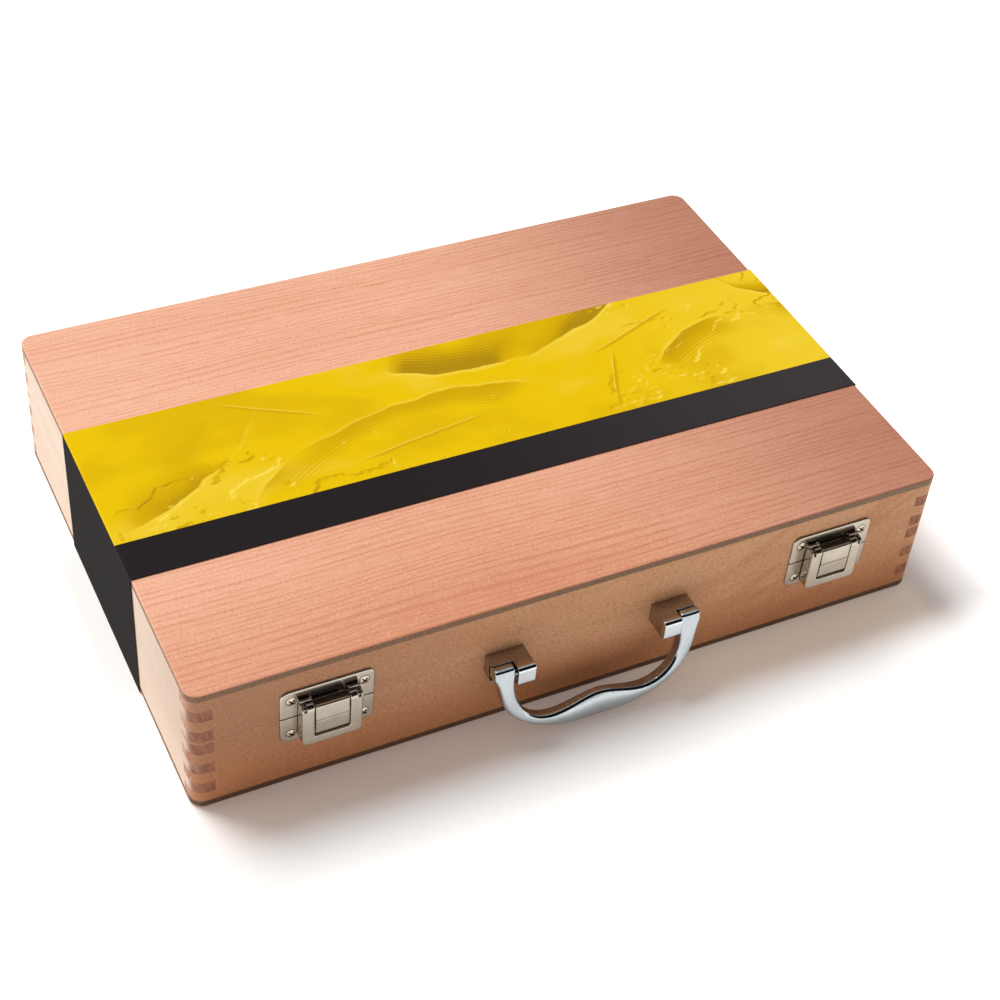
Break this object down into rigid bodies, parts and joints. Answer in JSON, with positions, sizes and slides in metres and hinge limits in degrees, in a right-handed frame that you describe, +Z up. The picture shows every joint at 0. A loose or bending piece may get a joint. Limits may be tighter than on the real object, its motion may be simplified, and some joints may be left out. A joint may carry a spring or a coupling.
{
  "type": "acrylic paint set",
  "caption": "Finger-jointed wooden paint box with a hinged lid, two draw latches, a bail handle and a sliding card band, with tubes, brushes, palette and knife.",
  "frame": {"origin": "on the table under the middle of the box's footprint", "axes": "+X right along the long side, -Y towards the handle side, +Z up"},
  "size_m": [0.3562, 0.2645, 0.0694],
  "materials": {
    "beech": "clear satin lacquer on steamed beech",
    "plywood": "beech-faced plywood, satin",
    "card": "printed card, matte",
    "chrome": "bright chrome",
    "nickel": "satin nickel plate",
    "steel_screw": "nickel-plated screw",
    "hinge_steel": "satin nickel plate",
    "tube_laminate": "white laminate tube, satin",
    "cap_plastic": "black moulded plastic",
    "brush_lacquer": "gloss lacquer on wood",
    "ferrule_metal": "polished",
    "bristle": "synthetic hair",
    "palette_wood": "oiled plywood",
    "knife_wood": "lacquered beech",
    "knife_steel": "ground steel"
  },
  "bodies": {
    "base": {"base_sheet": "plywood", "base_front_wall": "beech", "base_back_wall": "beech", "base_left_wall": "beech", "base_right_wall": "beech", "left_handle_post": "chrome", "right_handle_post": "chrome", "handle_pins": "chrome", "handle_screws": "steel_screw", "left_latch_base_plate": "nickel", "right_latch_base_plate": "nickel", "latch_base_screws": "steel_screw", "left_hinge_base_leaf": "hinge_steel", "right_hinge_base_leaf": "hinge_steel", "hinge_pins": "hinge_steel", "hinge_base_screws": "steel_screw", "long_divider": "plywood", "short_divider": "plywood", "paint_tube_01": "tube_laminate", "paint_tube_02": "tube_laminate", "paint_tube_03": "tube_laminate", "paint_tube_04": "tube_laminate", "paint_tube_05": "tube_laminate", "paint_tube_06": "tube_laminate", "paint_tube_07": "tube_laminate", "paint_tube_08": "tube_laminate", "paint_tube_09": "tube_laminate", "paint_tube_10": "tube_laminate", "tube_caps": "cap_plastic", "brush_handles": "brush_lacquer", "brush_ferrules": "ferrule_metal", "brush_tufts": "bristle", "palette": "palette_wood", "knife_handle": "knife_wood", "knife_blade": "knife_steel"},
    "lid": {"lid_sheet": "plywood", "lid_front_wall": "beech", "lid_back_wall": "beech", "lid_left_wall": "beech", "lid_right_wall": "beech", "left_latch_keeper_plate": "nickel", "right_latch_keeper_plate": "nickel", "latch_keeper_screws": "steel_screw", "left_hinge_lid_leaf": "hinge_steel", "right_hinge_lid_leaf": "hinge_steel", "hinge_lid_screws": "steel_screw"},
    "band_upper": {"band_upper": "card"},
    "band_lower": {"band_lower": "card"},
    "bail": {"handle_bail": "chrome"},
    "left_lever": {"left_latch_lever": "nickel", "left_latch_lever_pins": "nickel", "left_latch_link_pin": "nickel"},
    "left_link": {"left_latch_link": "nickel"},
    "right_lever": {"right_latch_lever": "nickel", "right_latch_lever_pins": "nickel", "right_latch_link_pin": "nickel"},
    "right_link": {"right_latch_link": "nickel"}
  },
  "joints": [
    {"name": "lid_hinge", "type": "hinge", "parent": "base", "child": "lid", "pos_m": [0, 0.1229, 0.04105], "axis": [-1, 0, 0], "range_deg": [0, 100]},
    {"name": "handle_swing", "type": "hinge", "parent": "base", "child": "bail", "pos_m": [0.0008, -0.1293, 0.0368], "axis": [-1, 0, 0], "range_deg": [0, 95]},
    {"name": "band_lower_slide", "type": "slide", "parent": "base", "child": "band_lower", "axis": [0, -1, 0], "range_m": [0, 0.2]},
    {"name": "band_upper_slide", "type": "slide", "parent": "lid", "child": "band_upper", "axis": [0, -1, 0], "range_m": [0, 0.2]},
    {"name": "left_latch_lever_turn", "type": "hinge", "parent": "base", "child": "left_lever", "pos_m": [-0.1192, -0.124, 0.0478], "axis": [-1, 0, 0], "range_deg": [0, 100]},
    {"name": "left_latch_link_turn", "type": "hinge", "parent": "left_lever", "child": "left_link", "pos_m": [-0.1192, -0.1246, 0.034], "axis": [-1, 0, 0], "range_deg": [-90, 0]},
    {"name": "right_latch_lever_turn", "type": "hinge", "parent": "base", "child": "right_lever", "pos_m": [0.1228, -0.124, 0.0478], "axis": [-1, 0, 0], "range_deg": [0, 100]},
    {"name": "right_latch_link_turn", "type": "hinge", "parent": "right_lever", "child": "right_link", "pos_m": [0.1228, -0.1246, 0.034], "axis": [-1, 0, 0], "range_deg": [-90, 0]}
  ],
  "couplings": [
    {"joint": "band_upper_slide", "follows": "band_lower_slide", "ratio": 1},
    {"joint": "left_latch_link_turn", "follows": "left_latch_lever_turn", "ratio": -0.9},
    {"joint": "right_latch_link_turn", "follows": "right_latch_lever_turn", "ratio": -0.9}
  ]
}
